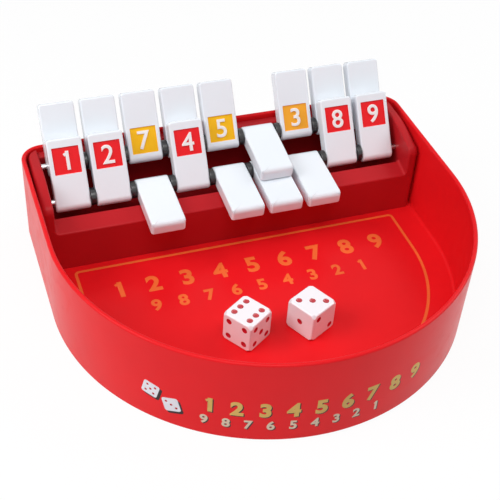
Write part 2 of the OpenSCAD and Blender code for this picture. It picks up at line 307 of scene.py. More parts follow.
finishes = {
    "trayRed": {"colour": (0.76, 0.0095, 0.014), "roughness": 0.3, "mottle": 0.05,
                "specular": 0.12},
    "rackRed": {"colour": (0.46, 0.0125, 0.018), "roughness": 0.36, "mottle": 0.06,
                "specular": 0.14},
    "tileWhite": {"colour": (0.80, 0.845, 0.90), "roughness": 0.24, "coat": 0.25, "mottle": 0.02,
                  "marks": 0.015},
    "squareRed": {"colour": (0.82, 0.010, 0.016), "roughness": 0.42, "mottle": 0.08, "bump": 0.12,
                  "specular": 0.3},
    "squareYellow": {"colour": (0.93, 0.51, 0.008), "roughness": 0.42, "mottle": 0.1, "bump": 0.12,
                     "specular": 0.3},
    "squareOrange": {"colour": (0.94, 0.42, 0.03), "roughness": 0.42, "mottle": 0.1, "bump": 0.12,
                     "specular": 0.3},
    "numberWhite": {"colour": (0.88, 0.87, 0.87), "roughness": 0.3, "mottle": 0.03},
    "dieWhite": {"colour": (0.86, 0.84, 0.88), "roughness": 0.2, "coat": 0.3, "mottle": 0.02},
    "pipRed": {"colour": (0.50, 0.010, 0.024), "roughness": 0.22, "coat": 0.5, "mottle": 0.15},
    "spacerBlack": {"colour": (0.014, 0.014, 0.016), "roughness": 0.28, "coat": 0.3, "mottle": 0.2},
    "rodSteel": {"colour": (0.62, 0.63, 0.65), "roughness": 0.22, "metal": 1.0, "mottle": 0.12,
                 "grainScale": 2400, "bump": 0.08},
    "screwSteel": {"colour": (0.50, 0.50, 0.51), "roughness": 0.34, "metal": 1.0, "mottle": 0.15,
                   "grainScale": 2000, "bump": 0.1},
    "printOrange": {"colour": (0.90, 0.155, 0.034), "roughness": 0.45, "mottle": 0.2,
                    "specular": 0.25},
    "printGold": {"colour": (0.66, 0.42, 0.10), "roughness": 0.42, "mottle": 0.2, "specular": 0.3},
    "printPale": {"colour": (0.68, 0.56, 0.42), "roughness": 0.42, "mottle": 0.15, "specular": 0.3},
    "printWhite": {"colour": (0.74, 0.74, 0.80), "roughness": 0.42, "mottle": 0.1, "specular": 0.3},
    "printBlack": {"colour": (0.020, 0.010, 0.012), "roughness": 0.45, "mottle": 0.2,
                   "specular": 0.25},
}
mouldedGroup = buildMouldedGroup(mouldedLook)
finish = {name: mouldedFinish(name, look) for name, look in finishes.items()}
print("finishes mixed:", len(finish))


def paint(piece, *names):
    piece.data.materials.clear()
    for name in names:
        piece.data.materials.append(finish[name])


def paintPicked(piece, slotNumber):
    piece.active_material_index = slotNumber
    bpy.ops.object.material_slot_assign()
    bpy.ops.object.mode_set(mode='OBJECT')


# tray

tray = {
    "halfWidth": 99.95 * mm, "arcY": 13 * mm, "backY": 86.95 * mm, "height": 45.95 * mm,
    "wall": 2.15 * mm, "floor": 2.5 * mm, "backCorner": 11 * mm, "rimRound": 1.02 * mm,
    "footRound": 0.7 * mm, "floorFillet": 1.6 * mm, "bossFoot": 1 * mm, "holeTop": 10 * mm,
    "screwX": 70 * mm, "screwY": (58.7 * mm, 72.5 * mm), "bossRadius": 5 * mm,
    "bossTop": 6 * mm, "headRecess": 3.2 * mm, "seat": 3.4 * mm, "shankHole": 1.7 * mm,
    "below": 2 * mm,
}


def makeTray(size):
    pickNothing()
    bpy.ops.mesh.primitive_circle_add(vertices=256, radius=size["halfWidth"], fill_type='NGON',
                                      location=(0, size["arcY"], 0))
    piece = bpy.context.object
    piece.name = "trayShell"
    applyPlace(piece)
    # half of the disc, with its straight edge pulled back to the rear wall
    editPiece(piece, 'FACE')
    bpy.ops.mesh.select_all(action='SELECT')
    bpy.ops.mesh.bisect(plane_co=(0, size["arcY"], 0), plane_no=(0, 1, 0), clear_outer=True)
    pickEdges(piece, lambda edge: allAt(edge, 1, size["arcY"]))
    bpy.ops.mesh.extrude_region_move(
        TRANSFORM_OT_translate={"value": (0, size["backY"] - size["arcY"], 0)})
    bpy.ops.mesh.select_mode(type='FACE')
    bpy.ops.mesh.select_all(action='SELECT')
    bpy.ops.mesh.dissolve_faces()
    editPiece(piece, 'VERT')
    shape = bmesh.from_edit_mesh(piece.data)
    for corner in shape.verts:
        corner.select_set(corner.co.y > size["backY"] - 0.1 * mm)
    bmesh.update_edit_mesh(piece.data)
    bpy.ops.mesh.bevel(offset=size["backCorner"], segments=20, profile=0.5, affect='VERTICES')
    # walls up, the inside pushed back down to the floor
    bpy.ops.mesh.select_mode(type='FACE')
    bpy.ops.mesh.select_all(action='SELECT')
    bpy.ops.mesh.extrude_region_move(TRANSFORM_OT_translate={"value": (0, 0, size["height"])})
    bpy.ops.mesh.inset(thickness=size["wall"], depth=0)
    bpy.ops.mesh.extrude_region_move(
        TRANSFORM_OT_translate={"value": (0, 0, size["floor"] - size["height"])})
    closeUp(piece)
    for height, width, steps in ((size["height"], size["rimRound"], 6),
                                 (size["floor"], size["floorFillet"], 5),
                                 (0, size["footRound"], 3)):
        pickEdges(piece, lambda edge: isSharp(edge) and allAt(edge, 2, height))
        bevelPicked(width, steps)
    bpy.ops.object.mode_set(mode='OBJECT')
    places = [(x, y) for x in (-size["screwX"], size["screwX"]) for y in size["screwY"]]
    bosses = [addRound(size["bossRadius"], size["bossTop"] - size["bossFoot"],
                       (x, y, (size["bossTop"] + size["bossFoot"]) / 2)) for x, y in places]
    cutWith(piece, joinPieces(bosses[0], bosses[1:]), 'UNION')
    recesses = [addRound(size["headRecess"], size["seat"] + size["below"],
                         (x, y, (size["seat"] - size["below"]) / 2)) for x, y in places]
    cutWith(piece, joinPieces(recesses[0], recesses[1:]))
    holes = [addRound(size["shankHole"], size["holeTop"] + size["below"],
                      (x, y, (size["holeTop"] - size["below"]) / 2), sides=32) for x, y in places]
    cutWith(piece, joinPieces(holes[0], holes[1:]))
    paint(piece, "trayRed")
    smoothPiece(piece)
    return piece


trayShell = makeTray(tray)
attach(trayShell, "game_box")
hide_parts("tray")
print("tray moulded")


# tile rack

rack = {
    "frontY": 42.2 * mm, "backY": 84.4 * mm, "foot": 2.5 * mm, "innerHalf": 91.4 * mm,
    "outerHalf": 96.8 * mm, "ledgeFrontZ": 24.4 * mm, "ledgeBackY": 51.7 * mm,
    "ledgeBackZ": 27.0 * mm, "troughZ": 14 * mm, "railY": 79.5 * mm, "railZ": 43.49 * mm,
    "wall": 2 * mm, "cheekFrontZ": 39.6 * mm, "cheekBendY": 61.5 * mm, "cheekTopZ": 45.2 * mm,
    "noseRound": 3.4 * mm, "frontRound": 2.6 * mm, "innerRound": 0.9 * mm, "backRound": 8.8 * mm,
    "bendRound": 7 * mm, "fillet": 1.5 * mm, "filletSunk": 0.9 * mm, "filletEnd": 0.7 * mm,
    "overlap": 1 * mm, "seamGap": 0.01 * mm, "postRadius": 4 * mm, "postHole": 1.5 * mm,
    "postHoleLong": 12 * mm, "postHoleMiddle": 5.8 * mm, "rodHole": 1.56 * mm,
    "rods": ((58.5 * mm, 31.2 * mm), (74.0 * mm, 41.5 * mm)),
}


def makeRack(size):
    wall = size["wall"]
    slope = (size["ledgeBackZ"] - size["ledgeFrontZ"]) / (size["ledgeBackY"] - size["frontY"])
    core = drawSideView([
        (size["frontY"], size["foot"]),
        (size["frontY"], size["ledgeFrontZ"]),
        (size["ledgeBackY"], size["ledgeBackZ"]),
        (size["ledgeBackY"], size["troughZ"]),
        (size["railY"], size["troughZ"]),
        (size["railY"], size["railZ"]),
        (size["backY"], size["railZ"]),
        (size["backY"], size["foot"]),
        (size["backY"] - wall, size["foot"]),
        (size["backY"] - wall, size["troughZ"] - wall),
        (size["ledgeBackY"] - wall, size["troughZ"] - wall),
        (size["ledgeBackY"] - wall, size["ledgeBackZ"] - wall * (1 + slope)),
        (size["frontY"] + wall, size["ledgeFrontZ"] - wall),
        (size["frontY"] + wall, size["foot"]),
    ], -size["innerHalf"] - size["overlap"], size["innerHalf"] + size["overlap"])
    core.name = "rackShell"
    for y, z, width in ((size["frontY"], size["ledgeFrontZ"], 0.8 * mm),
                        (size["ledgeBackY"], size["ledgeBackZ"], 0.8 * mm),
                        (size["railY"], size["railZ"], 1.0 * mm),
                        (size["backY"], size["railZ"], 0.8 * mm),
                        (size["ledgeBackY"], size["troughZ"], 1.0 * mm),
                        (size["railY"], size["troughZ"], 1.0 * mm)):
        pickEdges(core, lambda edge: allAt(edge, 1, y) and allAt(edge, 2, z))
        bevelPicked(width, 4)
    bpy.ops.object.mode_set(mode='OBJECT')
    for side in (-1, 1):
        inner, outer = side * size["innerHalf"], side * size["outerHalf"]
        cheek = drawSideView([
            (size["frontY"], size["foot"]),
            (size["frontY"], size["cheekFrontZ"]),
            (size["cheekBendY"], size["cheekTopZ"]),
            (size["backY"], size["cheekTopZ"]),
            (size["backY"], size["foot"]),
        ], *sorted((inner, outer)))
        for y, z, width, steps in ((size["frontY"], size["cheekFrontZ"], size["noseRound"], 12),
                                   (size["cheekBendY"], size["cheekTopZ"], size["bendRound"], 8)):
            pickEdges(cheek, lambda edge: allAt(edge, 1, y) and allAt(edge, 2, z))
            bevelPicked(width, steps)
        # front and top edges rounded, more on the outside; foot and back stay square
        for x, width, steps in ((outer, size["frontRound"], 8), (inner, size["innerRound"], 4)):
            pickEdges(cheek, lambda edge: allAt(edge, 0, x) and not allAt(edge, 2, size["foot"])
                      and not allAt(edge, 1, size["backY"]))
            bevelPicked(width, steps)
        bpy.ops.object.mode_set(mode='OBJECT')
        # concave blend from the ledge up to the cheek's inner face
        reach, sunk = size["fillet"], size["filletSunk"]
        length = size["ledgeBackY"] - size["frontY"] - 0.1 * mm
        middleY = (size["frontY"] + size["ledgeBackY"]) / 2
        strip = addBlock((reach + sunk, length, reach + sunk),
                         (inner - side * (reach - sunk) / 2, middleY,
                          size["ledgeFrontZ"] + (reach - sunk) / 2))
        pipe = addRound(reach, 30 * mm, (inner - side * reach, size["ledgeBackY"],
                                         size["ledgeFrontZ"] + reach + 0.05 * mm), 'Y', 64)
        cutWith(strip, pipe)
        for endY in (middleY - length / 2, middleY + length / 2):
            pickEdges(strip, lambda edge: allAt(edge, 1, endY) and isSharp(edge)
                      and min(corner.co.z for corner in edge.verts) > size["ledgeFrontZ"]
                      and min(abs(corner.co.x) for corner in edge.verts) < size["innerHalf"])
            bevelPicked(size["filletEnd"], 3)
        editPiece(strip, 'VERT')
        shape = bmesh.from_edit_mesh(strip.data)
        for corner in shape.verts:
            corner.co.z += slope * (corner.co.y - size["frontY"])
        bmesh.update_edit_mesh(strip.data)
        bpy.ops.object.mode_set(mode='OBJECT')
        cutWith(cheek, strip, 'UNION')
        cutWith(core, cheek, 'UNION')
    # the upright back corners follow the tray
    front = size["frontY"] - 2 * mm
    plan = addBlock((2 * size["outerHalf"], size["backY"] - front, 60 * mm),
                    (0, (front + size["backY"]) / 2, 28 * mm))
    pickEdges(plan, lambda edge: allAt(edge, 1, size["backY"]) and isLevel(edge, 0))
    bevelPicked(size["backRound"], 12)
    bpy.ops.object.mode_set(mode='OBJECT')
    cutWith(core, plan, 'INTERSECT')
    # posts that the screws bite into, then the holes for screws and rods
    places = [(x, y) for x in (-tray["screwX"], tray["screwX"]) for y in tray["screwY"]]
    posts, holes = [], []
    top = size["troughZ"] - wall / 2
    for x, y in places:
        posts.append(addRound(size["postRadius"], top - tray["bossTop"],
                              (x, y, (top + tray["bossTop"]) / 2), sides=40))
        holes.append(addRound(size["postHole"], size["postHoleLong"],
                              (x, y, size["postHoleMiddle"]), sides=32))
    cutWith(core, joinPieces(posts[0], posts[1:]), 'UNION')
    for y, z in size["rods"]:
        holes.append(addRound(size["rodHole"], 250 * mm, (0, y, z), 'X', 40))
    cutWith(core, joinPieces(holes[0], holes[1:]))
    cleanSeams(core, size["seamGap"])
    paint(core, "rackRed")
    smoothPiece(core)
    return core


rackShell = makeRack(rack)
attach(rackShell, "game_box")
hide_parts("tile_rack")
print("tile rack moulded")


# number tiles

tile = {
    "width": 17 * mm, "thick": 6.8 * mm, "tail": 5.2 * mm, "tip": 29.8 * mm,
    "tipCorner": 1.5 * mm, "tipBackRound": 2.6 * mm, "edgeRound": 0.85 * mm, "rodHole": 1.56 * mm,
    "tailShare": 0.995, "square": 12.9 * mm, "squareDepth": 0.5 * mm, "squareRound": 0.3 * mm,
    "rimRound": 0.12 * mm,
    "frontSquare": 19.2 * mm, "backSquare": 5.9 * mm,
}
rows = {
    "front": {"rodY": 58.5 * mm, "rodZ": 31.2 * mm, "lean": 33.0102, "turn": 127.5102,
              "shut": (3, 5, 6, 7), "middle": tile["frontSquare"]},
    "back": {"rodY": 74.0 * mm, "rodZ": 41.5 * mm, "lean": 31.5, "turn": 129.8673,
             "shut": (4,), "middle": tile["backSquare"]},
}
pitch = 20 * mm
numeralSize = {"height": 9.3 * mm, "thick": 0.5 * mm, "bold": 0.17 * mm}
# the height's share of the type size, then the flag of the one as shares of the height
digitLook = {"capShare": 0.70, "flagLong": 0.215, "flagWide": 0.145, "flagDrop": 0.156,
             "flagTurn": 27}


def makeTileBlank(size):
    half = size["thick"] / 2
    blank = addBlock((size["width"], size["tip"] + size["tail"], size["thick"]),
                     (0, (size["tip"] - size["tail"]) / 2, 0))
    sides = (-size["width"] / 2, size["width"] / 2)
    pickEdges(blank, lambda edge: allAt(edge, 1, -size["tail"])
              and not any(allAt(edge, 0, side) for side in sides))
    bevelPicked(half * size["tailShare"], 12)
    pickEdges(blank, lambda edge: allAt(edge, 1, size["tip"]) and allAt(edge, 2, -half))
    bevelPicked(size["tipBackRound"], 7)
    # rounded corners at the tip, then all the edges round the two faces
    plan = addBlock((size["width"], size["tip"] + 2 * size["tail"], 2 * size["thick"]),
                    (0, size["tip"] / 2 - size["tail"], 0))
    pickEdges(plan, lambda edge: allAt(edge, 1, size["tip"]) and isLevel(edge, 0))
    bevelPicked(size["tipCorner"], 8)
    bpy.ops.object.mode_set(mode='OBJECT')
    cutWith(blank, plan, 'INTERSECT')
    softenEdges(blank, size["edgeRound"], 4, 48)
    closeUp(blank)
    return blank


def cutSquare(blank, middle, size, name):
    body = copyPiece(blank, name)
    half = size["thick"] / 2
    pocket = addBlock((size["square"], size["square"], 2 * mm),
                      (0, middle, half - size["squareDepth"] + mm))
    pickEdges(pocket, lambda edge: not isLevel(edge, 2))
    bevelPicked(size["squareRound"], 3)
    bpy.ops.object.mode_set(mode='OBJECT')
    cutWith(body, pocket)
    cutWith(body, addRound(size["rodHole"], 30 * mm, (0, 0, 0), 'X', 40))
    softenEdges(body, size["rimRound"], 2, 60)
    closeUp(body)
    return body


def centrePiece(piece):
    pickPiece(piece)
    bpy.ops.object.origin_set(type='ORIGIN_GEOMETRY', center='BOUNDS')
    piece.location = (0, 0, 0)
    applyPlace(piece)


def makeDigit(number, height, thick, bold, steps=2):
    # a digit of the plain built-in face, made bolder by its rounded edge; the one gets a flag
    pickNothing()
    bpy.ops.object.text_add(location=(0, 0, 0))
    digit = bpy.context.object
    digit.data.body = str(number)
    digit.data.size = (height - 2 * bold) / digitLook["capShare"]
    digit.data.extrude = thick / 2
    digit.data.bevel_depth = bold
    digit.data.bevel_resolution = steps
    digit.data.resolution_u = 8
    pickPiece(digit)
    bpy.ops.object.convert(target='MESH')
    digit = bpy.context.object
    closeUp(digit)
    centrePiece(digit)
    if number == 1:
        high = max(corner.co.y for corner in digit.data.vertices)
        left = min(corner.co.x for corner in digit.data.vertices)
        flag = addBlock((digitLook["flagLong"] * height, digitLook["flagWide"] * height,
                         digit.dimensions.z), (left, high - digitLook["flagDrop"] * height, 0))
        pickPiece(flag)
        bpy.ops.object.origin_set(type='ORIGIN_GEOMETRY', center='BOUNDS')
        flag.rotation_euler.z = math.radians(digitLook["flagTurn"])
        applyPlace(flag)
        cutWith(digit, flag, 'UNION')
        centrePiece(digit)
    return digit


def makeTile(body, row, number, place, size, squareFinish):
    look = rows[row]
    half = size["thick"] / 2
    piece = copyPiece(body, f"{row}Tile{number}")
    piece.data.name = piece.name
    numeral = copyPiece(numerals[number], "numeral")
    numeral.location = (0, look["middle"], half - size["squareDepth"] / 2 - 0.1 * mm)
    applyPlace(numeral)
    paint(numeral, "numberWhite")
    paint(piece, "tileWhite", squareFinish, "numberWhite")
    depthLine = half - 0.9 * size["rimRound"]
    reach = size["square"] / 2 + 0.02 * mm

    def inPocket(face):
        middle = face.calc_center_median()
        return (half - size["squareDepth"] - 0.1 * mm < middle.z < depthLine
                and abs(middle.x) < reach and abs(middle.y - look["middle"]) < reach)

    pickFaces(piece, inPocket)
    paintPicked(piece, 1)
    joinPieces(piece, [numeral])
    turn = look["turn"] if number in look["shut"] else 0
    piece.rotation_euler.x = math.radians(90 - look["lean"] + turn)
    piece.location = ((place - 5) * pitch, look["rodY"], look["rodZ"])
    applyPlace(piece)
    smoothPiece(piece)
    return piece


blankTile = makeTileBlank(tile)
tileBodies = {row: cutSquare(blankTile, rows[row]["middle"], tile, row + "Body") for row in rows}
numerals = {number: makeDigit(number, **numeralSize) for number in range(1, 10)}
for number in range(1, 10):
    frontPiece = makeTile(tileBodies["front"], "front", number, number, tile, "squareRed")
    backFinish = "squareOrange" if number == 3 else "squareYellow"
    backPiece = makeTile(tileBodies["back"], "back", number, 10 - number, tile, backFinish)
    for piece, row in ((frontPiece, "front"), (backPiece, "back")):
        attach(piece, f"{row}_flap_{number}")
        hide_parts(f"{row}_tile_{number}")
for spare in [blankTile, *tileBodies.values(), *numerals.values()]:
    discard(spare)
print("tiles made")


# rods and spacers

rodSize = {"radius": 1.5 * mm, "half": 96.3 * mm, "chamfer": 0.35 * mm}
spacerSize = {"radius": 4.3 * mm, "thick": 2.6 * mm, "hole": 1.56 * mm, "rim": 0.35 * mm,
              "dish": 0.2 * mm, "dishSlope": 0.25 * mm, "dishRadius": 3.1 * mm}


def makeRod(name, y, z, size):
    rod = addRound(size["radius"], 2 * size["half"], (0, y, z), 'X', 40)
    rod.name = name
    pickEdges(rod, lambda edge: isSharp(edge) and (allAt(edge, 0, size["half"])
                                                    or allAt(edge, 0, -size["half"])))
    bevelPicked(size["chamfer"], 2)
    closeUp(rod)
    paint(rod, "rodSteel")
    smoothPiece(rod)
    return rod


def makeSpacer(size):
    disc = addRound(size["radius"], size["thick"], (0, 0, 0), 'X', 56)
    pickEdges(disc, lambda edge: isSharp(edge) and isLevel(edge, 0))
    bevelPicked(size["rim"], 3)
    pickFaces(disc, lambda face: abs(face.normal.x) > 0.99 and len(face.verts) > 8)
    bpy.ops.mesh.inset(thickness=size["radius"] - size["rim"] - size["dishRadius"], depth=0)
    bpy.ops.mesh.inset(thickness=size["dishSlope"], depth=-size["dish"])
    bpy.ops.object.mode_set(mode='OBJECT')
    cutWith(disc, addRound(size["hole"], 10 * mm, (0, 0, 0), 'X', 32))
    closeUp(disc)
    paint(disc, "spacerBlack")
    smoothPiece(disc)
    return disc


def rowOfSpacers(name, y, z, size):
    first = makeSpacer(size)
    discs = []
    for gap in range(1, 9):
        disc = copyPiece(first, f"{name}{gap}")
        disc.location = ((gap - 4.5) * pitch, y, z)
        applyPlace(disc)
        discs.append(disc)
    discard(first)
    row = joinPieces(discs[0], discs[1:])
    row.name = name
    return row


for row in ("front", "back"):
    rod = makeRod(row + "Rod", rows[row]["rodY"], rows[row]["rodZ"], rodSize)
    discs = rowOfSpacers(row + "Spacers", rows[row]["rodY"], rows[row]["rodZ"], spacerSize)
    for piece, node, slotName in ((rod, row + "_rod", "rod_steel"),
                                  (discs, row + "_spacers", "spacer_black")):
        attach(piece, "game_box")
        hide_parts(node)
print("rods and spacers turned")


# rack screws

screwSize = {"headRadius": 2.8 * mm, "headHeight": 2 * mm, "seat": 3.4 * mm, "shank": 1.45 * mm,
             "length": 8 * mm, "crossWide": 3.4 * mm, "crossSlim": 0.7 * mm, "crossDeep": 1.1 * mm,
             "headRound": 0.8 * mm, "threadStep": 1.1 * mm, "threadDeep": 0.3 * mm,
             "threadFrom": 0.6 * mm, "threadHalf": 0.3 * mm, "pointShare": 0.45}


def makeScrew(size):
    low = size["seat"] - size["headHeight"]
    head = addRound(size["headRadius"], size["headHeight"],
                    (0, 0, size["seat"] - size["headHeight"] / 2), 'Z', 40)
    pickEdges(head, lambda edge: isSharp(edge) and allAt(edge, 2, low))
    bevelPicked(size["headRound"], 4)
    bpy.ops.object.mode_set(mode='OBJECT')
    for wide, deep in ((size["crossWide"], size["crossSlim"]),
                       (size["crossSlim"], size["crossWide"])):
        cutWith(head, addBlock((wide, deep, 2 * size["crossDeep"]), (0, 0, low)))
    shank = addRound(size["shank"], size["length"],
                     (0, 0, size["seat"] + size["length"] / 2), 'Z', 24)
    # rings cut in for the thread, then a drawn-in point
    slim = 1 - size["threadDeep"] / size["shank"]
    for ring in range(1, int((size["length"] - mm) / size["threadStep"])):
        height = size["seat"] + size["threadFrom"] + ring * size["threadStep"]
        editPiece(shank, 'FACE')
        for offset in (-size["threadHalf"], 0, size["threadHalf"]):
            bpy.ops.mesh.select_all(action='SELECT')
            bpy.ops.mesh.bisect(plane_co=(0, 0, height + offset), plane_no=(0, 0, 1))
        pickEdges(shank, lambda edge: allAt(edge, 2, height))
        bpy.ops.transform.resize(value=(slim, slim, 1))
    pickEdges(shank, lambda edge: allAt(edge, 2, size["seat"] + size["length"]))
    bpy.ops.transform.resize(value=(size["pointShare"], size["pointShare"], 1))
    bpy.ops.object.mode_set(mode='OBJECT')
    cutWith(head, shank, 'UNION')
    closeUp(head)
    return head


screw = makeScrew(screwSize)
screws = []
for x in (-tray["screwX"], tray["screwX"]):
    for y in tray["screwY"]:
        twin = copyPiece(screw, "rackScrew")
        twin.location = (x, y, 0)
        applyPlace(twin)
        screws.append(twin)
discard(screw)
rackScrews = joinPieces(screws[0], screws[1:])
rackScrews.name = "rackScrews"
paint(rackScrews, "screwSteel")
smoothPiece(rackScrews)
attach(rackScrews, "game_box")
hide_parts("rack_screws")
print("rack screws driven")


# dice

die = {
    "side": 16 * mm, "edgeRound": 0.9 * mm, "ball": 12.55 * mm, "pipRadius": 1.5 * mm,
    "pipDepth": 0.5 * mm, "pipStep": 4.4 * mm, "floor": 2.5 * mm,
    "left": {"place": (-18.3, -24.8), "turn": 33.3, "faces": (6, 4, 5)},
    "right": {"place": (12.4, -26.5), "turn": 27.5, "faces": (3, 1, 2)},
}


def pipPlaces(count):
    step = die["pipStep"]
    spots = [(0, 0)] if count % 2 else []
    if count >= 2:
        spots += [(-step, step), (step, -step)]
    if count >= 4:
        spots += [(step, step), (-step, -step)]
    if count == 6:
        spots += [(0, step), (0, -step)]
    return spots


def makeDie(name, look, size):
    half = size["side"] / 2
    cube = addBlock((size["side"],) * 3, (0, 0, 0))
    cube.name = name
    pickEdges(cube, lambda edge: True)
    bevelPicked(size["edgeRound"], 4)
    bpy.ops.object.mode_set(mode='OBJECT')
    pickNothing()
    bpy.ops.mesh.primitive_uv_sphere_add(segments=96, ring_count=64, radius=size["ball"])
    cutWith(cube, bpy.context.object, 'INTERSECT')
    ball = (size["pipRadius"] ** 2 + size["pipDepth"] ** 2) / (2 * size["pipDepth"])
    top, left, front = look["faces"]
    turns = ((top, (0, 0, 0)), (7 - top, (math.pi, 0, 0)), (left, (0, -math.pi / 2, 0)),
             (7 - left, (0, math.pi / 2, 0)), (front, (math.pi / 2, 0, 0)),
             (7 - front, (-math.pi / 2, 0, 0)))
    cutters, centres = [], []
    for count, turn in turns:
        for x, y in pipPlaces(count):
            pickNothing()
            centre = Vector((x, y, half - size["pipDepth"] + ball))
            centre.rotate(Matrix.Rotation(turn[1], 3, 'Y') @ Matrix.Rotation(turn[0], 3, 'X'))
            bpy.ops.mesh.primitive_uv_sphere_add(segments=40, ring_count=32, radius=ball,
                                                 location=centre)
            cutters.append(bpy.context.object)
            applyPlace(cutters[-1])
            centres.append(centre)
    cutWith(cube, joinPieces(cutters[0], cutters[1:]))
    closeUp(cube)
    paint(cube, "dieWhite", "pipRed")
    pickFaces(cube, lambda face: any(
        all(abs((corner.co - centre).length - ball) < 0.02 * mm for corner in face.verts)
        for centre in centres))
    paintPicked(cube, 1)
    cube.rotation_euler.z = math.radians(look["turn"])
    cube.location = (look["place"][0] * mm, look["place"][1] * mm, size["floor"] + half)
    applyPlace(cube)
    smoothPiece(cube, 32)
    return cube


for side in ("left", "right"):
    piece = makeDie(side + "Die", die[side], die)
    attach(piece, "die_" + side)
    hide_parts("die_" + side)
print("dice made")


# print on the tray

floorPrint = {
    "height": 0.05 * mm, "digitThick": 0.2 * mm, "backY": 38.8 * mm, "halfWidth": 85 * mm,
    "arcY": 11 * mm, "arcDepth": 81 * mm, "line": 1.4 * mm, "cornerRound": 2.5 * mm,
    "rows": (("123456789", 10.8 * mm, (0.5 * mm, 20.8 * mm), 16.8 * mm, 0.5 * mm),
             ("987654321", 7.6 * mm, (0.5 * mm, 5.9 * mm), 13.2 * mm, 0.34 * mm)),
}


def makeBorder(size):
    pickNothing()
    bpy.ops.mesh.primitive_circle_add(vertices=180, radius=1, fill_type='NGON', location=(0, 0, 0))
    line = bpy.context.object
    line.name = "floorBorder"
    line.scale = (size["halfWidth"], size["arcDepth"], 1)
    line.location = (0, size["arcY"], tray["floor"])
    applyPlace(line)
    editPiece(line, 'FACE')
    bpy.ops.mesh.select_all(action='SELECT')
    bpy.ops.mesh.bisect(plane_co=(0, size["arcY"], 0), plane_no=(0, 1, 0), clear_outer=True)
    pickEdges(line, lambda edge: allAt(edge, 1, size["arcY"]))
    bpy.ops.mesh.extrude_region_move(
        TRANSFORM_OT_translate={"value": (0, size["backY"] - size["arcY"], 0)})
    bpy.ops.mesh.select_mode(type='FACE')
    bpy.ops.mesh.select_all(action='SELECT')
    bpy.ops.mesh.dissolve_faces()
    editPiece(line, 'VERT')
    shape = bmesh.from_edit_mesh(line.data)
    for corner in shape.verts:
        corner.select_set(corner.co.y > size["backY"] - 0.1 * mm)
    bmesh.update_edit_mesh(line.data)
    bpy.ops.mesh.bevel(offset=size["cornerRound"], segments=6, profile=0.5, affect='VERTICES')
    bpy.ops.mesh.select_mode(type='FACE')
    bpy.ops.mesh.select_all(action='SELECT')
    bpy.ops.mesh.inset(thickness=size["line"], depth=0)
    bpy.ops.mesh.delete(type='FACE')
    bpy.ops.mesh.select_all(action='SELECT')
    bpy.ops.mesh.extrude_region_move(TRANSFORM_OT_translate={"value": (0, 0, size["height"])})
    closeUp(line)
    return line


def flatLine(words, height, middle, step, bold, name):
    # plain bold digits in a row, squashed to the thickness of a print
    digits = []
    for place, number in enumerate(words):
        digit = makeDigit(int(number), height, floorPrint["digitThick"], bold, 1)
        digit.scale.z = floorPrint["height"] / digit.dimensions.z
        digit.location = (middle[0] + (place - (len(words) - 1) / 2) * step, middle[1], 0)
        applyPlace(digit)
        digits.append(digit)
    line = joinPieces(digits[0], digits[1:])
    applyPlace(line)
    line.name = name
    return line


def addPrint(piece, finishName):
    paint(piece, finishName)
    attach(piece, "game_box")


border = makeBorder(floorPrint)
addPrint(border, "printOrange")
for order, (words, height, middle, step, bold) in enumerate(floorPrint["rows"]):
    line = flatLine(words, height, middle, step, bold, f"floorNumbers{order + 1}")
    line.location.z = tray["floor"] + floorPrint["height"] / 2
    applyPlace(line)
    addPrint(line, "printOrange")
print("floor printed")


# print round the wall

wallPrint = {
    "radius": 99.95 * mm, "arcY": 13 * mm, "shadowHeight": 0.02 * mm, "height": 0.045 * mm,
    "shadowShift": (0.5 * mm, -0.5 * mm), "markShift": (1.2 * mm, -1.0 * mm), "strip": 2.0 * mm,
    "thick": 0.06 * mm, "dotThick": 0.07 * mm, "dotRise": 0.005 * mm,
    "rows": (("123456789", 8.6 * mm, -4.2, 19.0 * mm, 11.8 * mm, 0.5 * mm, "printGold"),
             ("987654321", 5.4 * mm, -10.8, 9.6 * mm, 9.4 * mm, 0.24 * mm, "printPale")),
    "marks": ((-46.2, 17.6 * mm, -14, ((-1, -1), (-1, 1), (0, 0), (1, -1), (1, 1))),
              (-40.6, 12.6 * mm, 16, ((-1, 1), (0, 0), (1, -1)))),
    "mark": 7.6 * mm, "markRound": 1.1 * mm, "dot": 0.62 * mm, "dotStep": 1.9 * mm,
}


def wrapOnWall(piece, degrees, height, outer, thick):
    # cut in upright strips, then laid round the front wall; x runs round, y runs up
    editPiece(piece, 'FACE')
    low = min(corner.co.x for corner in piece.data.vertices)
    high = max(corner.co.x for corner in piece.data.vertices)
    for cut in range(1, int((high - low) / wallPrint["strip"]) + 1):
        bpy.ops.mesh.select_all(action='SELECT')
        bpy.ops.mesh.bisect(plane_co=(low + cut * wallPrint["strip"], 0, 0), plane_no=(1, 0, 0))
    shape = bmesh.from_edit_mesh(piece.data)
    depth = max(corner.co.z for corner in shape.verts)
    for corner in shape.verts:
        turn = math.radians(degrees) + corner.co.x / wallPrint["radius"]
        out = wallPrint["radius"] + outer + (corner.co.z / depth - 1) * thick / 2
        corner.co = (out * math.sin(turn), wallPrint["arcY"] - out * math.cos(turn),
                     height + corner.co.y)
    bmesh.update_edit_mesh(piece.data)
    closeUp(piece)


def makeMark(spots):
    # a plain square mark with round dots, like the side of a die
    square = addBlock((wallPrint["mark"], wallPrint["mark"], floorPrint["height"]), (0, 0, 0))
    pickEdges(square, lambda edge: not isLevel(edge, 2, 0.01 * mm))
    bevelPicked(wallPrint["markRound"], 5)
    bpy.ops.object.mode_set(mode='OBJECT')
    dots = [addRound(wallPrint["dot"], floorPrint["height"] * 1.6,
                     (x * wallPrint["dotStep"], y * wallPrint["dotStep"], 0), sides=20)
            for x, y in spots]
    return square, joinPieces(dots[0], dots[1:])


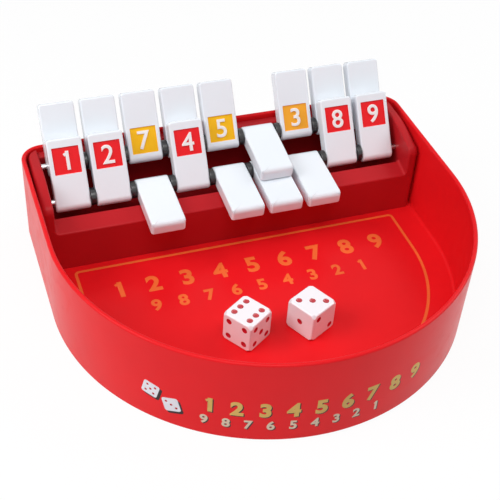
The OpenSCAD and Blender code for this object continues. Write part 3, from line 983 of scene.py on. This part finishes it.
shadows, markSquares, markDots = [], [], []
for order, (words, height, degrees, level, step, bold, ink) in enumerate(wallPrint["rows"]):
    line = flatLine(words, height, (0, 0), step, bold, f"wallNumbers{order + 1}")
    shadow = copyPiece(line, "wallShadow")
    shadow.location = (*wallPrint["shadowShift"], 0)
    applyPlace(shadow)
    wrapOnWall(line, degrees, level, wallPrint["height"], wallPrint["thick"])
    wrapOnWall(shadow, degrees, level, wallPrint["shadowHeight"], wallPrint["thick"])
    addPrint(line, ink)
    shadows.append(shadow)
for degrees, level, tilt, spots in wallPrint["marks"]:
    square, dots = makeMark(spots)
    for part in (square, dots):
        part.rotation_euler.z = math.radians(tilt)
        applyPlace(part)
    shadow = copyPiece(square, "wallShadow")
    shadow.location = (*wallPrint["markShift"], 0)
    applyPlace(shadow)
    wrapOnWall(square, degrees, level, wallPrint["height"], wallPrint["thick"])
    wrapOnWall(dots, degrees, level, wallPrint["height"] + wallPrint["dotRise"],
               wallPrint["dotThick"])
    wrapOnWall(shadow, degrees, level, wallPrint["shadowHeight"], wallPrint["thick"])
    shadows.append(shadow)
    markSquares.append(square)
    markDots.append(dots)
for name, parts, ink in (("wallShadows", shadows, "printBlack"),
                         ("wallMarks", markSquares, "printWhite"),
                         ("wallMarkDots", markDots, "pipRed")):
    piece = joinPieces(parts[0], parts[1:])
    piece.name = name
    addPrint(piece, ink)
print("wall printed")


# camera, light and floor

camera = {"place": (-0.14553, -0.33821, 0.35087), "yaw": 21.9, "pitch": 41.18, "roll": 4.23,
          "lens": 75.65}
studio = {"aim": (0, 0, 0.01), "lampSide": 0.5, "skyStrength": 0.2, "white": (1, 1, 1, 1),
          "floorSide": 6, "floorDrop": 0.2 * mm, "floorColour": (0.92, 0.92, 0.93, 1),
          "floorRoughness": 0.8, "floorWhite": 0.93}
lamps = {"leftSoftbox": ((-0.65, 0, 0.6), 4.1), "rightSoftbox": ((0.65, 0, 0.6), 2.75),
         "highSoftbox": ((-0.15, -0.3, 0.85), 3.5)}


def setCamera(look):
    bpy.ops.object.camera_add(location=look["place"])
    eye = bpy.context.object
    eye.name = "photoCamera"
    turn = (Matrix.Rotation(math.radians(-look["yaw"]), 3, 'Z')
            @ Matrix.Rotation(math.radians(90 - look["pitch"]), 3, 'X')
            @ Matrix.Rotation(math.radians(look["roll"]), 3, 'Z'))
    eye.rotation_euler = turn.to_euler()
    eye.data.lens = look["lens"]
    eye.data.sensor_width = 36
    eye.data.clip_start = 0.01
    bpy.context.scene.camera = eye


def addLamp(name, place, power):
    bpy.ops.object.light_add(type='AREA', location=place)
    lamp = bpy.context.object
    lamp.name = name
    lamp.data.size = studio["lampSide"]
    lamp.data.energy = power
    aim = Vector(studio["aim"]) - Vector(place)
    lamp.rotation_euler = aim.to_track_quat('-Z', 'Y').to_euler()


def seenShare(tree, share):
    # 'share' to the camera, in mirrors and through glass, and nothing for light and shadow
    path = tree.nodes.new('ShaderNodeLightPath')
    found = path.outputs["Is Camera Ray"]
    for ray in ("Is Glossy Ray", "Is Transmission Ray"):
        either = tree.nodes.new('ShaderNodeMath')
        either.operation = 'MAXIMUM'
        tree.links.new(found, either.inputs[0])
        tree.links.new(path.outputs[ray], either.inputs[1])
        found = either.outputs[0]
    part = tree.nodes.new('ShaderNodeMath')
    part.operation = 'MULTIPLY'
    part.inputs[1].default_value = share
    tree.links.new(found, part.inputs[0])
    return part.outputs[0]


def setWorld(look):
    world = bpy.data.worlds.new("studio")
    bpy.context.scene.world = world
    world.use_nodes = True
    tree = world.node_tree
    soft = tree.nodes["Background"]
    soft.inputs["Color"].default_value = look["white"]
    soft.inputs["Strength"].default_value = look["skyStrength"]
    white = tree.nodes.new('ShaderNodeBackground')
    white.inputs["Color"].default_value = look["white"]
    mix = tree.nodes.new('ShaderNodeMixShader')
    tree.links.new(seenShare(tree, 1), mix.inputs["Fac"])
    tree.links.new(soft.outputs[0], mix.inputs[1])
    tree.links.new(white.outputs[0], mix.inputs[2])
    tree.links.new(mix.outputs[0], tree.nodes["World Output"].inputs["Surface"])


def setFloor(look):
    pickNothing()
    bpy.ops.mesh.primitive_plane_add(size=look["floorSide"], location=(0, 0, -look["floorDrop"]))
    ground = bpy.context.object
    ground.name = "studioFloor"
    material = bpy.data.materials.new("studioFloor")
    material.use_nodes = True
    tree = material.node_tree
    shader = tree.nodes["Principled BSDF"]
    shader.inputs["Base Color"].default_value = look["floorColour"]
    shader.inputs["Roughness"].default_value = look["floorRoughness"]
    glow = tree.nodes.new('ShaderNodeEmission')
    glow.inputs["Color"].default_value = look["white"]
    mix = tree.nodes.new('ShaderNodeMixShader')
    tree.links.new(seenShare(tree, look["floorWhite"]), mix.inputs["Fac"])
    tree.links.new(shader.outputs[0], mix.inputs[1])
    tree.links.new(glow.outputs[0], mix.inputs[2])
    tree.links.new(mix.outputs[0], tree.nodes["Material Output"].inputs["Surface"])
    ground.data.materials.append(material)


setCamera(camera)
setWorld(studio)
setFloor(studio)
for name, (place, power) in lamps.items():
    addLamp(name, place, power)
bpy.context.scene.view_settings.view_transform = 'Standard'
print("studio set")
